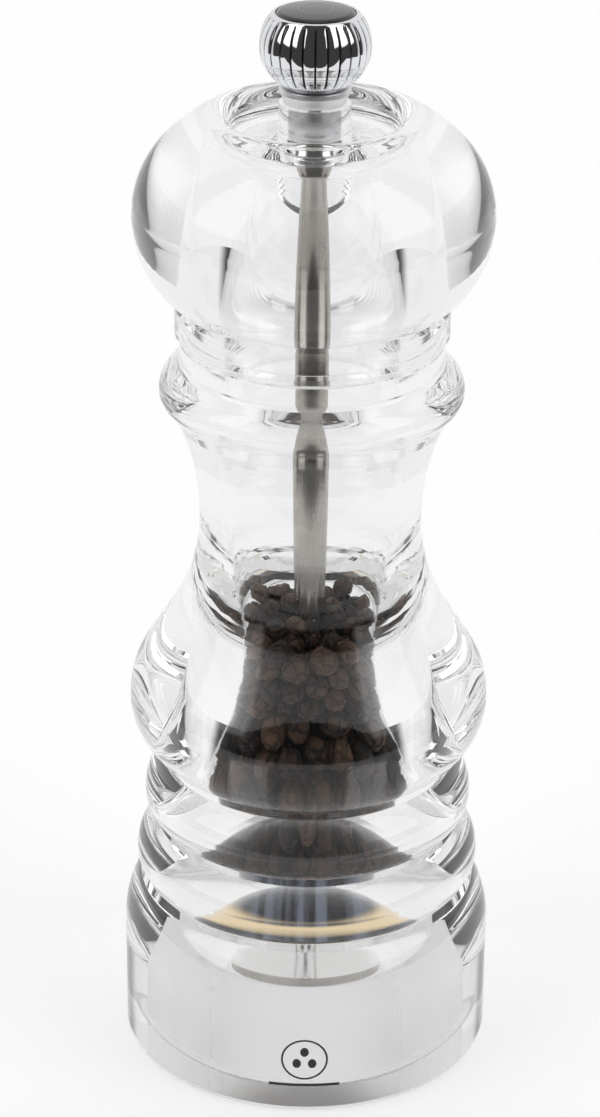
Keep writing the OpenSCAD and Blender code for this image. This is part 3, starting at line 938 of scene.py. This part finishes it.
class MILL_OT_stage(bpy.types.Operator):
    """Sets out the pale floor, the soft light and the camera"""

    bl_idname = "mill.stage"
    bl_label = "Stage"

    def execute(self, context):
        scene = context.scene
        stage = scene.mill_stage
        clean_selection()
        bpy.ops.mesh.primitive_plane_add(size=1, location=(0, 0.675, -0.0001))
        floor = context.object
        floor.name = "floor"
        floor.scale = (1.1, 1.85, 1)
        settle(floor)
        material = bpy.data.materials.new("floor")
        s = Shader(material)
        seen = s.value("LightPath", "Is Camera Ray")
        s.surface(Base_Color=colour(stage.floor), Roughness=0.9, Specular_IOR_Level=0.1,
                  Emission_Color=(1, 1, 1, 1), Emission_Strength=seen * 0.08 + stage.floor_glow)
        floor.data.materials.append(material)

        world = bpy.data.worlds.new("surroundings")
        scene.world = world
        s = Shader(world)
        way = s.value("TexCoord", "Generated")
        x = s.value("SeparateXYZ", 0, None, Vector=way)
        y = s.value("SeparateXYZ", 1, None, Vector=way)
        z = s.value("SeparateXYZ", 2, None, Vector=way)
        degrees = 180 / math.pi
        azimuth = x.maths("ARCTAN2", y * -1).maths("ABSOLUTE") * degrees
        elevation = z.maths("ARCSINE") * degrees
        boxes = (s.ramp(azimuth, 38, 44) * s.ramp(azimuth, 86, 80)
                 * s.ramp(elevation, 8, 14) * s.ramp(elevation, 66, 60))
        back = s.ramp(azimuth, 98, 112)
        top = s.ramp(elevation, 66, 76) * (1 - back)
        level = boxes * stage.boxes + back + top * 0.8 + stage.room
        seen = s.value("LightPath", "Is Camera Ray")
        level = level * (1 - seen) + seen * 1.1
        glow = s.node("Background", None, Strength=level * stage.light)
        out = s.node("OutputWorld")
        s.tree.links.new(glow.outputs[0], out.inputs[0])

        camera = bpy.data.cameras.new("camera")
        eye = bpy.data.objects.new("camera", camera)
        scene.collection.objects.link(eye)
        eye.matrix_world = (Matrix.Translation((0, -stage.camera_distance, stage.camera_height))
                            @ Matrix.Rotation(math.pi / 2 - stage.camera_pitch, 4, "X")
                            @ Matrix.Rotation(math.radians(0.63), 4, "Z"))
        camera.sensor_width = 36
        camera.lens = 107.2
        camera.shift_x = -0.0089
        camera.clip_start = 0.01
        scene.camera = eye
        scene.view_settings.view_transform = "Standard"
        scene.cycles.max_bounces = 24
        scene.cycles.transmission_bounces = 24
        scene.cycles.glossy_bounces = 12
        return {"FINISHED"}


class MILL_PT_panel(bpy.types.Panel):
    """Lists the mill's settings and steps."""

    bl_idname = "MILL_PT_panel"
    bl_label = "Pepper mill"
    bl_space_type = "VIEW_3D"
    bl_region_type = "UI"
    bl_category = "Mill"

    def draw(self, context):
        for group in (context.scene.mill_sizes, context.scene.mill_colours, context.scene.mill_stage):
            box = self.layout.box()
            for key in group.__annotations__:
                box.prop(group, key)
        for step in STEPS:
            self.layout.operator(step.bl_idname)


STEPS = (MILL_OT_body, MILL_OT_head, MILL_OT_shaft, MILL_OT_sleeve, MILL_OT_collar,
         MILL_OT_knob, MILL_OT_cap, MILL_OT_housing, MILL_OT_mechanism, MILL_OT_peppercorns,
         MILL_OT_mark, MILL_OT_stage)
CLASSES = (MillSizes, MillColours, MillStage) + STEPS + (MILL_PT_panel,)


def register():
    for kind in CLASSES:
        bpy.utils.register_class(kind)
    bpy.types.Scene.mill_sizes = bpy.props.PointerProperty(type=MillSizes)
    bpy.types.Scene.mill_colours = bpy.props.PointerProperty(type=MillColours)
    bpy.types.Scene.mill_stage = bpy.props.PointerProperty(type=MillStage)


def unregister():
    del bpy.types.Scene.mill_sizes, bpy.types.Scene.mill_colours, bpy.types.Scene.mill_stage
    for kind in reversed(CLASSES):
        bpy.utils.unregister_class(kind)


def main():
    register()
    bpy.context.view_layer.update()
    for step in STEPS:
        group, name = step.bl_idname.split(".")
        if getattr(getattr(bpy.ops, group), name)() != {"FINISHED"}:
            raise RuntimeError(f"{step.bl_label} could not be made")


if __name__ == "__main__":
    main()
